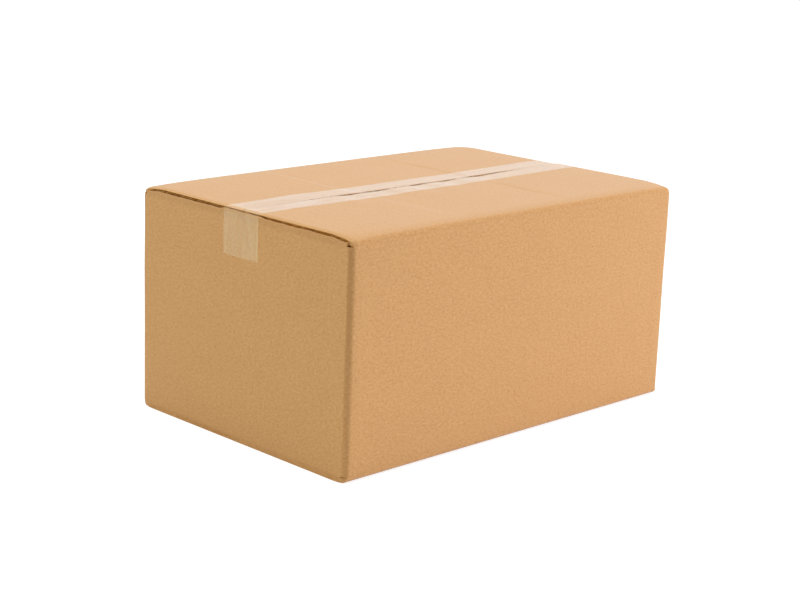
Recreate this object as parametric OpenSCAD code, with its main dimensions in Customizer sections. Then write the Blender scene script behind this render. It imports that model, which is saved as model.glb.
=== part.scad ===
// Small slotted shipping carton, closed and taped along its top seam.
// One die-cut sheet of single-wall corrugated board makes the four panels, the eight flaps and the glue lap.
// Origin: centre of the bottom face. X runs along the long panels, Y along the short ones, Z is up.
// Lengths are in millimetres, angles in degrees.

/* [Box] */
// Outside length, along the two long panels
box_l = 228.6; // [170:0.1:400]
// Outside width, along the two short panels
box_w = 152.4; // [110:0.1:300]
// Outside height
box_h = 114.3; // [60:0.1:300]

/* [Board] */
// Thickness of the corrugated board
board = 2.5; // [2:0.1:4]
// Thickness of the liners, the flat papers on both faces of the board
liner = 0.35; // [0.2:0.05:0.5]
// Distance from one flute to the next
flute_pitch = 6.5; // [4:0.1:9]
// Depth to which the flutes are modelled open at a free edge
flute_depth = 4; // [1:0.5:10]
// Depth of the open flute along an edge that was cut beside the flutes
groove = 1.6; // [0.5:0.1:3]
// How far the slotting knife presses down the outer liner at the side edges of the outer flaps
crush = 0.5; // [0.1:0.05:0.8]
// Width of the pressed strip along those edges
crush_run = 1.5; // [0.5:0.1:4]

/* [Folds] */
// Radius inside every fold
fold_inner = 0.3; // [0.2:0.1:1]
// Width over which the outer flaps bow down towards their folds
bow_run = 6; // [3:0.5:9]
// Height that they lose there
bow_h = 0.5; // [0.2:0.1:0.8]
// Length beside a fold over which its crease has crushed the flutes shut at the side edges
fold_crush = 2.5; // [0:0.5:6]

/* [Flaps] */
// Gap between the free edges of the two outer flaps
seam_gap = 1; // [0.4:0.1:4]
// Reach of the inner flaps, from the outer face of the end panel that carries them
inner_reach = 72; // [40:1:80]
// Free space between the side edges of the inner flaps and the folds beside them
inner_clear = 1.2; // [0.5:0.1:6]
// Free space between the inner flaps and the outer flaps over them
layer_clear = 0.12; // [0.1:0.02:1]
// How far the side edges of the outer flaps stand back from the faces of the end panels
edge_inset = 1.5; // [0.5:0.1:2.2]
// How far the slots stop above the start of the inner folds
slot_stop = 1.4; // [0:0.1:1.4]

/* [Glue lap] */
// Width of the glue lap, which joins the two ends of the sheet inside the back corner
lap_w = 32; // [15:1:60]
// Space between the ends of the glue lap and the start of the inner folds
lap_clear = 1; // [0.5:0.1:8]
// How much narrower the glue lap gets at each end, at its free edge
lap_taper = 9; // [0:1:15]

/* [Tape] */
// Width of the tape
tape_w = 25; // [12:1:70]
// Thickness of the tape
tape_t = 0.1; // [0.05:0.01:0.3]
// Height of the tape's tails, from the top of the box down the end panels
tape_tail = 23; // [12:1:50]

/* [Hidden] */
$fn = 64;
KRAFT = "#D2A36E";
TAPE = "#E6D0AE";

// Over-run of cutting tools past the faces that they cut
over = 1;
// Depth to which the glue lap runs into the two panels that it joins, so that it joins them at any size
bond = liner / 2;
half_l = box_l / 2;
half_w = box_w / 2;
// Outer radius of every fold
fold_r = board + fold_inner;
// Radius of the bow that has this run and drop and is tangent to the fold
bow_r = fold_r + (bow_run * bow_run + bow_h * bow_h) / (2 * bow_h);
// Reach of the outer flaps, from the face of the long panel
outer_reach = half_w - seam_gap / 2;
// Distance of the inner flaps' side edges from the faces of the long panels
inner_edge = fold_r + inner_clear;
// The bowed outer flaps are lowest over those edges, and the inner flaps lie just under them.
// A depth that a formula gives is kept to a thousandth, so that faces which meet lie in one plane.
bow_in = max(0, bow_run - inner_clear);
under_r = bow_r - board;
bow_under = under_r - sqrt(under_r * under_r - bow_in * bow_in);
layer_drop = round(1000 * (bow_under + layer_clear)) / 1000;
// Depth of the inner flaps' faces below the top, of the start of their folds, and of the slots
inner_depth = board + layer_drop;
inner_fold = inner_depth + fold_r;
slot_depth = inner_fold - slot_stop;
// Height of a flute's void between the liners
void_h = board - 2 * liner;
// Shape of one void, from the sine of the fluted paper: half widths at its foot and shoulder in pitches
void_foot = 0.40;
void_top = 0.14;

// Quarter of a flat ring, in the quadrant that the two signs name
module quarter(outer, inner, sx, sy) {
    intersection() {
        difference() {
            circle(r = outer);
            circle(r = inner);
        }
        translate([sx < 0 ? -outer : 0, sy < 0 ? -outer : 0]) square(outer);
    }
}

// All that lies under a flap and its fold, at a depth below their outer surface, down to the section's foot.
// X is the distance from the panel's face, Y the height above the flap's face. The fold is a quarter
// circle, and beside it the flap bows down over the run by the drop, on a circle tangent to the fold.
module under_flap(depth, reach, run, drop, foot) {
    centre_y = -fold_r - drop;
    start = fold_r + run;
    intersection() {
        union() {
            translate([start, -foot]) square([reach - start, foot - depth]);
            translate([fold_r, centre_y]) circle(r = fold_r - depth);
            if (foot + centre_y > 0)
                translate([depth, -foot]) square([start - depth, foot + centre_y]);
            if (run > 0)
                translate([start, -bow_r]) intersection() {
                    circle(r = bow_r - depth);
                    polygon([[0, 0], [0, 2 * bow_r], 2 * [-run, bow_r + centre_y]]);
                }
        }
        translate([0, -foot]) square([reach, foot]);
    }
}

// Section through the board of a flap and its fold, between two depths
module flap_section(top, bottom, reach, run, drop, foot) {
    difference() {
        under_flap(top, reach, run, drop, foot);
        under_flap(bottom, reach + over, run, drop, foot + over);
    }
}

// Voids of the flutes in a free edge, which lie in turn under one liner and the other
module flute_row(width) {
    count = floor((width - 2 * (groove + liner)) / flute_pitch);
    margin = (width - count * flute_pitch) / 2;
    foot = void_foot * flute_pitch;
    top = void_top * flute_pitch;
    for (i = [0 : count - 1])
        translate([margin + (i + 0.5) * flute_pitch, 0]) {
            translate([-flute_pitch / 4, liner - board])
                polygon([[-foot / 2, 0], [foot / 2, 0], [top / 2, void_h], [-top / 2, void_h]]);
            translate([flute_pitch / 4, -liner])
                polygon([[-foot / 2, 0], [foot / 2, 0], [top / 2, -void_h], [-top / 2, -void_h]]);
        }
}

// One flap with its fold. It starts at X = 0, is width wide, and reaches out along Y from the panel's face.
// press is how far the knife has pressed the outer liner down at the side edges.
module flap(width, reach, run, drop, foot, press) {
    difference() {
        rotate([90, 0, 90]) linear_extrude(width)
            flap_section(0, board, reach, run, drop, foot);
        for (x = [-over, width - groove])
            translate([x, 0, 0]) rotate([90, 0, 90]) linear_extrude(groove + over) intersection() {
                flap_section(liner + press, board - liner, reach + over, run, drop, foot + over);
                translate([fold_r + fold_crush, -foot]) square([reach, foot]);
            }
        translate([0, reach + over, 0]) rotate([90, 0, 0]) linear_extrude(flute_depth + over)
            flute_row(width);
        if (press > 0)
            translate([0, reach + over, 0]) rotate([90, 0, 0]) linear_extrude(reach + 2 * over) {
                polygon([[crush_run, 0], [crush_run, over], [-over, over], [-over, -press], [0, -press]]);
                polygon([[width - crush_run, 0], [width - crush_run, over], [width + over, over],
                         [width + over, -press], [width, -press]]);
            }
    }
}

module outer_flap(width) {
    flap(width, outer_reach, bow_run, bow_h, slot_depth, crush);
}

module inner_flap() {
    flap(box_w - 2 * inner_edge, inner_reach, 0, 0, fold_r, 0);
}

// The four panels in plan. At the glued corner the back long panel ends a board's thickness early, where the
// fold of the glue lap starts, and the end panel stops at that fold.
module panels_plan() {
    translate([fold_r - half_l, -half_w]) square([box_l - 2 * fold_r, board]);
    translate([fold_r - half_l, half_w - board]) square([box_l - 2 * fold_r - board, board]);
    translate([-half_l, fold_r - half_w]) square([board, box_w - 2 * fold_r]);
    translate([half_l - board, fold_r - half_w]) square([board, box_w - 2 * fold_r]);
    translate([fold_r - half_l, fold_r - half_w]) quarter(fold_r, fold_inner, -1, -1);
    translate([fold_r - half_l, half_w - fold_r]) quarter(fold_r, fold_inner, -1, 1);
    translate([half_l - fold_r, fold_r - half_w]) quarter(fold_r, fold_inner, 1, -1);
}

// The panels up to the ends of the slots. The inner flaps start lower, so the end panels are cut back for them.
module panels() {
    difference() {
        translate([0, 0, slot_depth]) linear_extrude(box_h - 2 * slot_depth) panels_plan();
        for (side = [-1, 1], level = [0, 1])
            translate([side * (half_l - board / 2), 0, level * box_h])
                cube([board + 2 * over, box_w - 2 * inner_edge, 2 * inner_fold], center = true);
        translate([half_l - board + liner, half_w - fold_r - groove, 0])
            cube([void_h, groove + over, box_h]);
    }
}

// The glue lap turns in behind the end panel and lies against its inside. Its ends are slanted.
module glue_lap() {
    fold_y = half_w - fold_r;
    low = inner_fold + lap_clear;
    high = box_h - low;
    translate([half_l - board - fold_r, fold_y, low]) linear_extrude(high - low) {
        quarter(fold_r, fold_inner, 1, 1);
        translate([-bond, fold_inner]) square([bond, board]);
    }
    translate([half_l - 2 * board, 0, 0]) rotate([90, 0, 90]) linear_extrude(board + bond)
        polygon([[fold_y, low], [fold_y, high],
                 [fold_y - lap_w, high - lap_taper], [fold_y - lap_w, low + lap_taper]]);
}

// The whole sheet, folded and closed
module carton() {
    front_w = box_l - 2 * edge_inset;
    back_w = front_w - board;
    color(KRAFT) {
        panels();
        glue_lap();
        for (level = [0, 1]) {
            translate([0, 0, level * box_h]) mirror([0, 0, 1 - level]) {
                translate([edge_inset - half_l, -half_w, 0]) outer_flap(front_w);
                translate([edge_inset - half_l, half_w, 0]) mirror([0, 1, 0]) outer_flap(back_w);
                translate([-half_l, half_w - inner_edge, -inner_depth]) rotate([0, 0, -90]) inner_flap();
                translate([half_l, inner_edge - half_w, -inner_depth]) rotate([0, 0, 90]) inner_flap();
            }
        }
    }
}

// Where the tape, taut from the pressed edge of the outer flaps over the inner fold, meets the end panel.
// X is the distance from the end panel's face, Y the height above the top.
function tape_landing() =
    let (edge = [edge_inset, -crush],
         centre = [fold_r, -inner_fold],
         reach = edge - centre,
         turn = atan2(reach.y, reach.x) + acos(fold_r / norm(reach)),
         touch = centre + fold_r * [cos(turn), sin(turn)])
    edge.y + (touch.y - edge.y) * edge.x / (edge.x - touch.x);

// Line beside a path at a distance to its left, with mitred corners
function beside(path, distance) =
    [for (i = [0 : len(path) - 1])
        let (before = path[i] - path[max(i - 1, 0)],
             after = path[min(i + 1, len(path) - 1)] - path[i],
             a = norm(before) > 0 ? before / norm(before) : after / norm(after),
             b = norm(after) > 0 ? after / norm(after) : a,
             bisector = (a + b) / norm(a + b))
        path[i] + distance / (bisector * a) * [-bisector.y, bisector.x]];

// The tape over the top seam, with a tail down each end panel
module top_tape() {
    left = [[-half_l, -tape_tail],
            [-half_l, tape_landing()],
            [edge_inset - half_l, -crush],
            [edge_inset + crush_run - half_l, 0]];
    right = [for (i = [len(left) - 1 : -1 : 0]) [-left[i].x, left[i].y]];
    under = concat(left, right);
    over_path = beside(under, tape_t);
    color(TAPE)
        translate([0, tape_w / 2, box_h]) rotate([90, 0, 0]) linear_extrude(tape_w)
            polygon(concat(under, [for (i = [len(over_path) - 1 : -1 : 0]) over_path[i]]));
}

carton();
top_tape();
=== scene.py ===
# %% [markdown]
# # A small shipping carton, folded from one sheet of corrugated board and taped shut
#
# The real box starts as a flat sheet, the blank. Two flat papers, the liners, are glued to a wavy paper
# between them, the fluting. The blank is cut, creased, folded round four corners, glued along one narrow
# lap and closed with its flaps. A strip of clear tape holds the top seam.
#
# This notebook makes the box in the same order. First come the sizes and the camera, then the blank as a
# grid of points, its folding, its wear, its cut edges, and at last the tape, the finishes and the light.

import math

import bpy
import numpy as np
from mathutils import Matrix, Vector


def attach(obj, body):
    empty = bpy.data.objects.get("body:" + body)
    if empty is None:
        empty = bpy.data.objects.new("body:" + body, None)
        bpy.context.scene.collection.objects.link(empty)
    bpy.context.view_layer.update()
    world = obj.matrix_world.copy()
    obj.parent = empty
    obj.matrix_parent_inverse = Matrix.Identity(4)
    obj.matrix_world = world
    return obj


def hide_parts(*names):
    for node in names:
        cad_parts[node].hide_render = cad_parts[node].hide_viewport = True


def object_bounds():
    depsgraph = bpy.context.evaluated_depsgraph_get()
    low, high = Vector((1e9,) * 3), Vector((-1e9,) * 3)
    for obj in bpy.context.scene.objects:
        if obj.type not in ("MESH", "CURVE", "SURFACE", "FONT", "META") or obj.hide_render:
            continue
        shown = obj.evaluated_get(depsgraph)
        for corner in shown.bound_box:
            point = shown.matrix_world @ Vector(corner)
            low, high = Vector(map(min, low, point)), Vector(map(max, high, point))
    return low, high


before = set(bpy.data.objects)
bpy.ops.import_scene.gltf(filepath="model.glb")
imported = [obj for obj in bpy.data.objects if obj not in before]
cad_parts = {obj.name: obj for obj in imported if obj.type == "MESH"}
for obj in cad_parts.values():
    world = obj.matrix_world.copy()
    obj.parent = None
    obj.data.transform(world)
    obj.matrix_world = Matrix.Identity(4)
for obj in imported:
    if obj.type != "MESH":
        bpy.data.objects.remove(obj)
cad_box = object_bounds()
print("nodes in the frame:", sorted(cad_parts))

# %% [markdown]
# ## Sizes
#
# All sizes are in millimetres, as on a packaging drawing, and a mesh is scaled to metres when it is made.
# The origin is the centre of the bottom. X runs along the long panels, Y along the end panels, Z is up.

# %% Sizes of the box, its board and its tape
MM = 0.001
BOX_L, BOX_W, BOX_H = 228.6, 152.4, 114.3
HALF_L, HALF_W = BOX_L / 2, BOX_W / 2
BOARD = 2.5            # thickness of the board
LINER = 0.35           # thickness of each flat paper
FLUTING = 0.22         # thickness of the wavy paper
PITCH = 6.5            # from one flute to the next
FOLD_R = 2.8           # outer radius of every fold
BOW_RUN, BOW_DROP = 6.0, 0.5       # how the outer flaps bow down towards their folds
EDGE_INSET = 1.5       # outer flaps' side edges, from the faces of the end panels
PRESSED, PRESSED_RUN = 0.5, 1.5    # how the slotting knife pressed down those edges, and over what width
INNER_EDGE = 3.5       # inner flaps' side edges, from the faces of the long panels
OUTER_REACH = 75.7     # the outer flaps' reach, from the face of their panel
INNER_REACH = 72.0     # the inner flaps' reach, from the face of their panel
INNER_DEPTH = 2.62     # depth of the inner flaps' faces below the outer flaps' faces
SLOT_DEPTH = 3.5       # depth of the slots' ends below the top
LAP_W, LAP_TAPER = 32.0, 9.0       # width of the glue lap, and how far its ends slant
LAP_CLEAR = 1.0        # between the glue lap's ends and the start of the inner folds
TAPE_W, TAPE_T = 25.0, 0.08        # width and thickness of the tape
TAPE_TAIL = 23.0       # how far it reaches down the end panels

low, high = cad_box
print("CAD box in mm:", [round(v / MM, 1) for v in (*low, *high)])

# %% [markdown]
# ## The camera
#
# The photograph was taken with a long lens from the front left corner, a little above the box. The place
# and lens below were found by fitting the box's six visible corners. A camera looks along its own -Z, so
# its three axes are worked out from the direction of sight and written into one matrix.

# %% Camera at the photograph's viewing angle
CAMERA_AT = Vector((-0.6401, -0.6337, 0.2827))
SIGHT = Vector((0.6846, 0.6859, -0.2468)).normalized()
CAMERA_ROLL = math.radians(2.14)

level_right = SIGHT.cross(Vector((0, 0, 1))).normalized()
level_up = level_right.cross(SIGHT)
right = level_right * math.cos(CAMERA_ROLL) + level_up * math.sin(CAMERA_ROLL)
up = right.cross(SIGHT)

camera_data = bpy.data.cameras.new("camera")
camera_data.sensor_width = 36.0
camera_data.lens = 80.85
camera_data.clip_start = 0.05
camera = bpy.data.objects.new("camera", camera_data)
camera.matrix_world = Matrix(
    [[right[k], up[k], -SIGHT[k], CAMERA_AT[k]] for k in range(3)] + [[0, 0, 0, 1]]
)
bpy.context.scene.collection.objects.link(camera)
bpy.context.scene.camera = camera
print("camera distance from the box in m:", round(CAMERA_AT.length, 3))

# %% [markdown]
# ## A sheet with two faces
#
# Every piece here is a sheet with a thickness. It could be made as one surface with a Solidify modifier,
# but the cut edges of corrugated board have to be shaped, so the two faces and the edges are made here.
# A grid of rows and columns gives the outer face and the inner face. A mask says which cells of the grid
# hold material. Where a cell has no neighbour, a wall closes the sheet from face to face.

# %% Edges and faces of a sheet's grid
def boundary_edges(cells):
    """Edges between a filled and an empty cell, as pairs of grid points, anticlockwise round the filled
    one. Beside them come the directions into the material, along the columns and along the rows."""
    rows, cols = cells.shape
    padded = np.pad(cells, 1)
    point = np.arange((rows + 1) * (cols + 1)).reshape(rows + 1, cols + 1)
    starts, ends, inwards = [], [], []
    for side, a, b, inward in (
        (padded[:-2, 1:-1], point[:-1, :-1], point[:-1, 1:], (0, 1)),
        (padded[1:-1, 2:], point[:-1, 1:], point[1:, 1:], (-1, 0)),
        (padded[2:, 1:-1], point[1:, 1:], point[1:, :-1], (0, -1)),
        (padded[1:-1, :-2], point[1:, :-1], point[:-1, :-1], (1, 0)),
    ):
        open_side = cells & ~side
        starts.append(a[open_side])
        ends.append(b[open_side])
        inwards.append(np.tile(inward, (open_side.sum(), 1)))
    return np.concatenate(starts), np.concatenate(ends), np.concatenate(inwards)


def closed_sheet(layers, cells):
    """Points and four-sided faces of the closed sheet.
    layers has shape (n, rows, columns, 3): the outer face, the lines across the edges, and the inner face.
    The outer face takes each cell's corners clockwise, the inner one anticlockwise, and the walls link
    the layers along the edges of the mask, so that all faces point out of the material."""
    n, rows, cols, _ = layers.shape
    flat = layers.reshape(n, rows * cols, 3)
    point = np.arange(rows * cols).reshape(rows, cols)
    a, b, c, d = (p[cells] for p in (point[:-1, :-1], point[:-1, 1:], point[1:, 1:], point[1:, :-1]))
    start, end, _ = boundary_edges(cells)
    used = np.zeros((n, rows * cols), bool)
    used[0, np.concatenate([a, b, c, d])] = True
    used[-1] = used[0]
    used[1:-1, start] = True
    number = np.full(used.shape, -1)
    number[used] = np.arange(used.sum())
    faces = [np.stack([number[0][a], number[0][d], number[0][c], number[0][b]], 1)]
    faces.append(np.stack([number[-1][a], number[-1][b], number[-1][c], number[-1][d]], 1))
    faces += [
        np.stack([number[k][start], number[k][end], number[k + 1][end], number[k + 1][start]], 1)
        for k in range(n - 1)
    ]
    return flat[used], np.concatenate(faces), used


print("edges of a single cell:", len(boundary_edges(np.ones((1, 1), bool))[0]))

# %% Mesh objects, and what a material reads from them
def mesh_object(name, points, quads, sharp_angle):
    """Object at the origin from points in millimetres and quads, smooth up to the sharp angle."""
    mesh = bpy.data.meshes.new(name)
    mesh.vertices.add(len(points))
    mesh.vertices.foreach_set("co", (points * MM).astype(np.float32).ravel())
    mesh.loops.add(quads.size)
    mesh.loops.foreach_set("vertex_index", quads.astype(np.int32).ravel())
    mesh.polygons.add(len(quads))
    mesh.polygons.foreach_set("loop_start", np.arange(0, quads.size, 4, dtype=np.int32))
    mesh.polygons.foreach_set("use_smooth", np.ones(len(quads), bool))
    mesh.update(calc_edges=True)
    mesh.validate()
    mesh.set_sharp_from_angle(angle=math.radians(sharp_angle))
    made = bpy.data.objects.new(name, mesh)
    bpy.context.scene.collection.objects.link(made)
    return made


def add_values(piece, name, values):
    """One number for each point of the mesh, which a material reads as an attribute."""
    attribute = piece.data.attributes.new(name, "FLOAT", "POINT")
    attribute.data.foreach_set("value", values.astype(np.float32).ravel())


def add_map(piece, name, coordinates):
    """UV map from two numbers for each point."""
    layer = piece.data.uv_layers.new(name=name)
    corner = np.empty(len(piece.data.loops), np.int32)
    piece.data.loops.foreach_get("vertex_index", corner)
    layer.data.foreach_set("uv", coordinates[corner].astype(np.float32).ravel())


print("mesh helpers ready")

# %% [markdown]
# ## The columns of the blank
#
# The blank's columns run once round the box: the right end panel, the front, the left end panel, the back
# and the glue lap. In plan each panel is straight and each corner is a quarter circle. Flaps start from
# their panel's straight line also where the panel already turns, because the slots are narrow. So each
# column has a place in the ring, and where a flap stands on it, also a place along that panel.
#
# The box could be put together from four plates and eight flaps. But then each fold would be a seam
# between two pieces, and the paper's pattern would start anew on each of them. One grid avoids both.

# %% Panels and their straight columns
PANELS = {
    "right": ((HALF_L, HALF_W), (0, -1), (-1, 0), BOX_W),
    "front": ((HALF_L, -HALF_W), (-1, 0), (0, 1), BOX_L),
    "left": ((-HALF_L, -HALF_W), (0, 1), (1, 0), BOX_W),
    "back": ((-HALF_L, HALF_W), (1, 0), (0, -1), BOX_L - BOARD),
    "lap": ((HALF_L - BOARD, HALF_W), (0, -1), (-1, 0), 2 * FOLD_R + LAP_W),
}
ORDER = list(PANELS)
LONG_PANELS = ("front", "back")        # they carry the outer flaps, and the end panels the inner ones
NO_FLAP = -1
FINE = PITCH / 7       # column spacing along the long panels, so that seven columns draw each flute
COARSE = 2.2           # column spacing along the end panels
FIRST_COLUMN = 0.35    # the end panels' first column, from the corner
LAP_COLUMNS = 9
NEAR_COLUMNS, FAR_COLUMNS = 3, 3       # columns round a corner, under the outer flap's end and past it
EDGE_TURN = math.asin((FOLD_R - EDGE_INSET) / FOLD_R)   # how far round the corner the outer flaps reach
TINY = 1e-6


def straight_columns(name):
    """Places along a panel, and where its flap stands: outer flaps on the whole panel, inner ones between
    their side edges."""
    length = PANELS[name][3]
    if name in LONG_PANELS:
        along = np.linspace(FOLD_R, length - FOLD_R, round((length - 2 * FOLD_R) / FINE) + 1)
        return along, np.ones(len(along), bool)
    if name == "lap":
        along = np.linspace(FOLD_R, FOLD_R + LAP_W, LAP_COLUMNS)
        return along, np.zeros(len(along), bool)
    strip = np.array([FOLD_R, FOLD_R + FIRST_COLUMN, INNER_EDGE])
    middle = np.linspace(INNER_EDGE, length - INNER_EDGE, round((length - 2 * INNER_EDGE) / COARSE) + 1)
    along = np.concatenate([strip[:-1], middle, (length - strip[::-1])[1:]])
    return along, (along > INNER_EDGE - TINY) & (along < length - INNER_EDGE + TINY)


print("columns on each straight panel:", {name: len(straight_columns(name)[0]) for name in ORDER})

# %% Columns round the corners, and the whole ring
def corner_columns(name, next_name):
    """Columns of the quarter circle between two panels: point = centre - fold radius * inward direction.
    Beside the points come those directions, the angles, where the outer flap stands, and the places
    along its panel."""
    _, _, inward, length = (np.array(v, float) for v in PANELS[name])
    next_corner, _, next_inward, _ = (np.array(v, float) for v in PANELS[next_name])
    near = np.linspace(0, EDGE_TURN, NEAR_COLUMNS + 1)[1:]
    far = np.linspace(EDGE_TURN, math.pi / 2, FAR_COLUMNS + 2)[1:-1]
    angle = np.concatenate([near, far])
    if name in LONG_PANELS:
        on_flap = angle < EDGE_TURN + TINY
        places = length - FOLD_R + FOLD_R * np.sin(angle)
    else:
        angle = (math.pi / 2 - angle)[::-1]
        on_flap = angle > math.pi / 2 - EDGE_TURN - TINY
        places = FOLD_R - FOLD_R * np.cos(angle)
    inwards = np.cos(angle)[:, None] * inward + np.sin(angle)[:, None] * next_inward
    centre = next_corner + FOLD_R * (inward + next_inward)
    return centre - FOLD_R * inwards, inwards, angle, on_flap, places


def ring_columns():
    """Arrays with one row per column: outer point and inward normal in plan, owner of the flap, place along
    the owner, place along the flat blank, and panel or corner number."""
    plan, normal, owner, along, blank, part = [], [], [], [], [], []
    travelled = 0.0
    for k, name in enumerate(ORDER):
        corner, direction, inward, _ = (np.array(v, float) for v in PANELS[name])
        places, has_flap = straight_columns(name)
        plan.append(corner + places[:, None] * direction)
        normal.append(np.tile(inward, (len(places), 1)))
        owner.append(np.where(has_flap, k, NO_FLAP))
        along.append(places)
        blank.append(travelled + places - places[0])
        part.append(np.full(len(places), k))
        travelled += places[-1] - places[0]
        if name == ORDER[-1]:
            break
        points, inwards, angle, on_flap, places = corner_columns(name, ORDER[k + 1])
        plan.append(points)
        normal.append(inwards)
        owner.append(np.where(on_flap, k if name in LONG_PANELS else k + 1, NO_FLAP))
        along.append(places)
        blank.append(travelled + FOLD_R * angle)
        part.append(np.full(len(angle), k + 0.5))
        travelled += FOLD_R * math.pi / 2
    return [np.concatenate(v) for v in (plan, normal, owner, along, blank, part)]


plan, plan_normal, owner, along, blank_s, part = ring_columns()
print("columns:", len(owner), "blank length in mm:", round(blank_s[-1], 1))

# %% [markdown]
# ## The rows of the blank
#
# The rows run up the panel and on into the flap. A row is a point of the section: how far it lies inside
# the panel's face, how deep below the top, and how far the board has turned there, from 0 on the upright
# panel to a right angle on the flap. The outer flaps' fold and bow are two circles that touch. On the inner
# flaps the crushed crease stands up as a bead beside the outer flaps' cut edges, so that the outer face has
# a line of its own, and the inner face keeps its circle. A Bevel modifier could round such folds too, but
# it would round both faces alike and couldn't draw the bead.

# %% Sections through panel, fold and flap
BOW_R = FOLD_R + (BOW_RUN**2 + BOW_DROP**2) / (2 * BOW_DROP)
INNER_FOLD = INNER_DEPTH + FOLD_R
LAP_TOP = BOX_H - INNER_FOLD - LAP_CLEAR
FOLD_STEPS, BOW_STEPS, FLAT_STEPS = 8, 3, 11
FLAT_START = FOLD_R + BOW_RUN

# The inner flaps' outer line round the bead, as inward distance and depth, on top and at the bottom.
UPPER_BEAD = (
    (0.0, 3.1), (0.02, 2.6), (0.1, 2.2), (0.3, 1.9), (0.6, 1.75), (0.95, 1.9), (1.25, 2.25), (1.42, 2.55)
)
LOWER_BEAD = (
    (0.0, 3.3), (0.0, 3.1), (0.02, 2.92), (0.08, 2.76), (0.2, 2.64), (0.4, 2.58), (0.8, 2.56), (1.4, 2.6)
)


def outer_section():
    """Outer and inner line of the outer flaps, as inward distance and depth below the top, and the turn:
    a circle of the fold's radius, a wide circle that touches it, and a flat line."""
    meet = math.asin(BOW_RUN / (BOW_R - FOLD_R))
    fold = np.linspace(0, math.pi / 2 - meet, FOLD_STEPS)
    bow = np.linspace(meet, 0, BOW_STEPS + 1)[1:]
    flat = np.linspace(FLAT_START, OUTER_REACH, FLAT_STEPS + 1)[1:]
    fold_depth = FOLD_R + BOW_DROP - FOLD_R * np.sin(fold)
    inward = np.concatenate([FOLD_R - FOLD_R * np.cos(fold), FLAT_START - BOW_R * np.sin(bow), flat])
    depth = np.concatenate([fold_depth, BOW_R - BOW_R * np.cos(bow), 0 * flat])
    turn = np.concatenate([fold, math.pi / 2 - bow, 0 * flat + math.pi / 2])
    outer = np.stack([inward, depth], -1)
    return outer, outer + BOARD * np.stack([np.cos(turn), np.sin(turn)], -1), turn


def inner_section(start_turn, bead):
    """The same for the inner flaps, which lie lower: the outer line follows the bead, and the inner one
    a small circle that has already started. Both end flat."""
    fold = np.linspace(start_turn, math.pi / 2, FOLD_STEPS + 1)[1:]
    flat = np.concatenate([
        np.linspace(FOLD_R, FLAT_START, BOW_STEPS + 1)[1:],
        np.linspace(FLAT_START, INNER_REACH, FLAT_STEPS + 1)[1:],
    ])
    small = FOLD_R - BOARD
    inner_fold = np.stack([FOLD_R - small * np.cos(fold), INNER_FOLD - small * np.sin(fold)], -1)
    outer_flat = np.stack([flat, 0 * flat + INNER_DEPTH], -1)
    outer = np.concatenate([np.array(bead), outer_flat])
    inner = np.concatenate([inner_fold, outer_flat + (0, BOARD)])
    return outer, inner, np.concatenate([fold, 0 * flat + math.pi / 2])


print("rows in each flap:", len(outer_section()[2]), "and", len(inner_section(0, UPPER_BEAD)[2]))

# %% Rows of the ring
LAP_ROWS, SLOT_ROWS = 8, 3         # from the middle to the glue lap's end, and beside the inner folds
slot_turn = math.asin((INNER_FOLD - SLOT_DEPTH) / FOLD_R)
ring_z = np.concatenate([
    np.linspace(BOX_H / 2, LAP_TOP, LAP_ROWS),
    np.linspace(BOX_H - INNER_FOLD, BOX_H - SLOT_DEPTH, SLOT_ROWS),
])
ring_turn = np.concatenate([np.zeros(LAP_ROWS), np.linspace(0, slot_turn, SLOT_ROWS)])
ring_rows = len(ring_z)
print("rows in each half of the ring:", ring_rows)

# %% [markdown]
# ## Folding the blank
#
# Now rows and columns meet. For each point of the grid four things are worked out as whole arrays: the
# places on the outer and the inner face, the direction into the board, and the direction up the blank.
# The lower half is folded in the same way and turned over. Below, the outer flaps' cut edges lie almost
# flush with the end panels, because the box stands on them. Bones or hinges could fold a flat mesh, but
# a formula gives each fold its true radius, and nothing of this box is ever unfolded.

# %% Ring and flaps of one half
Z = np.array([0, 0, 1.0])
FLUSH_SHIFT, FLUSH_RUN = 1.1, 14.0     # how far the lower outer flaps' side edges stand further out
PAST_FACE = 1e-3                       # so that each point of a flap counts as past its panel's face


def fold_ring():
    """Outer points, inner points, inward normals and upward directions of the upright panels and corners:
    point = plan point + inward * distance. Below an inner flap the inner face has begun to turn."""
    plan_3d, normal_3d = (np.pad(v, ((0, 0), (0, 1))) for v in (plan, plan_normal))
    is_end = (part == ORDER.index("right")) | (part == ORDER.index("left"))
    share = np.clip((np.minimum(along, BOX_W - along) - FOLD_R) / (INNER_EDGE - FOLD_R), 0, 1) * is_end
    turn = ring_turn[:, None] * share
    small = FOLD_R - BOARD
    inner_distance = BOARD + small * (1 - np.cos(turn))
    turned_z = np.minimum(ring_z[:, None], BOX_H - INNER_FOLD + small * np.sin(turn))
    inner_z = ring_z[:, None] * (1 - share) + share * turned_z
    outer = plan_3d + ring_z[:, None, None] * Z
    inner = plan_3d + inner_distance[..., None] * normal_3d + inner_z[..., None] * Z
    normal = np.cos(turn)[..., None] * normal_3d - np.sin(turn)[..., None] * Z
    upward = np.sin(turn)[..., None] * normal_3d + np.cos(turn)[..., None] * Z
    return outer, inner, normal, upward


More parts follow.
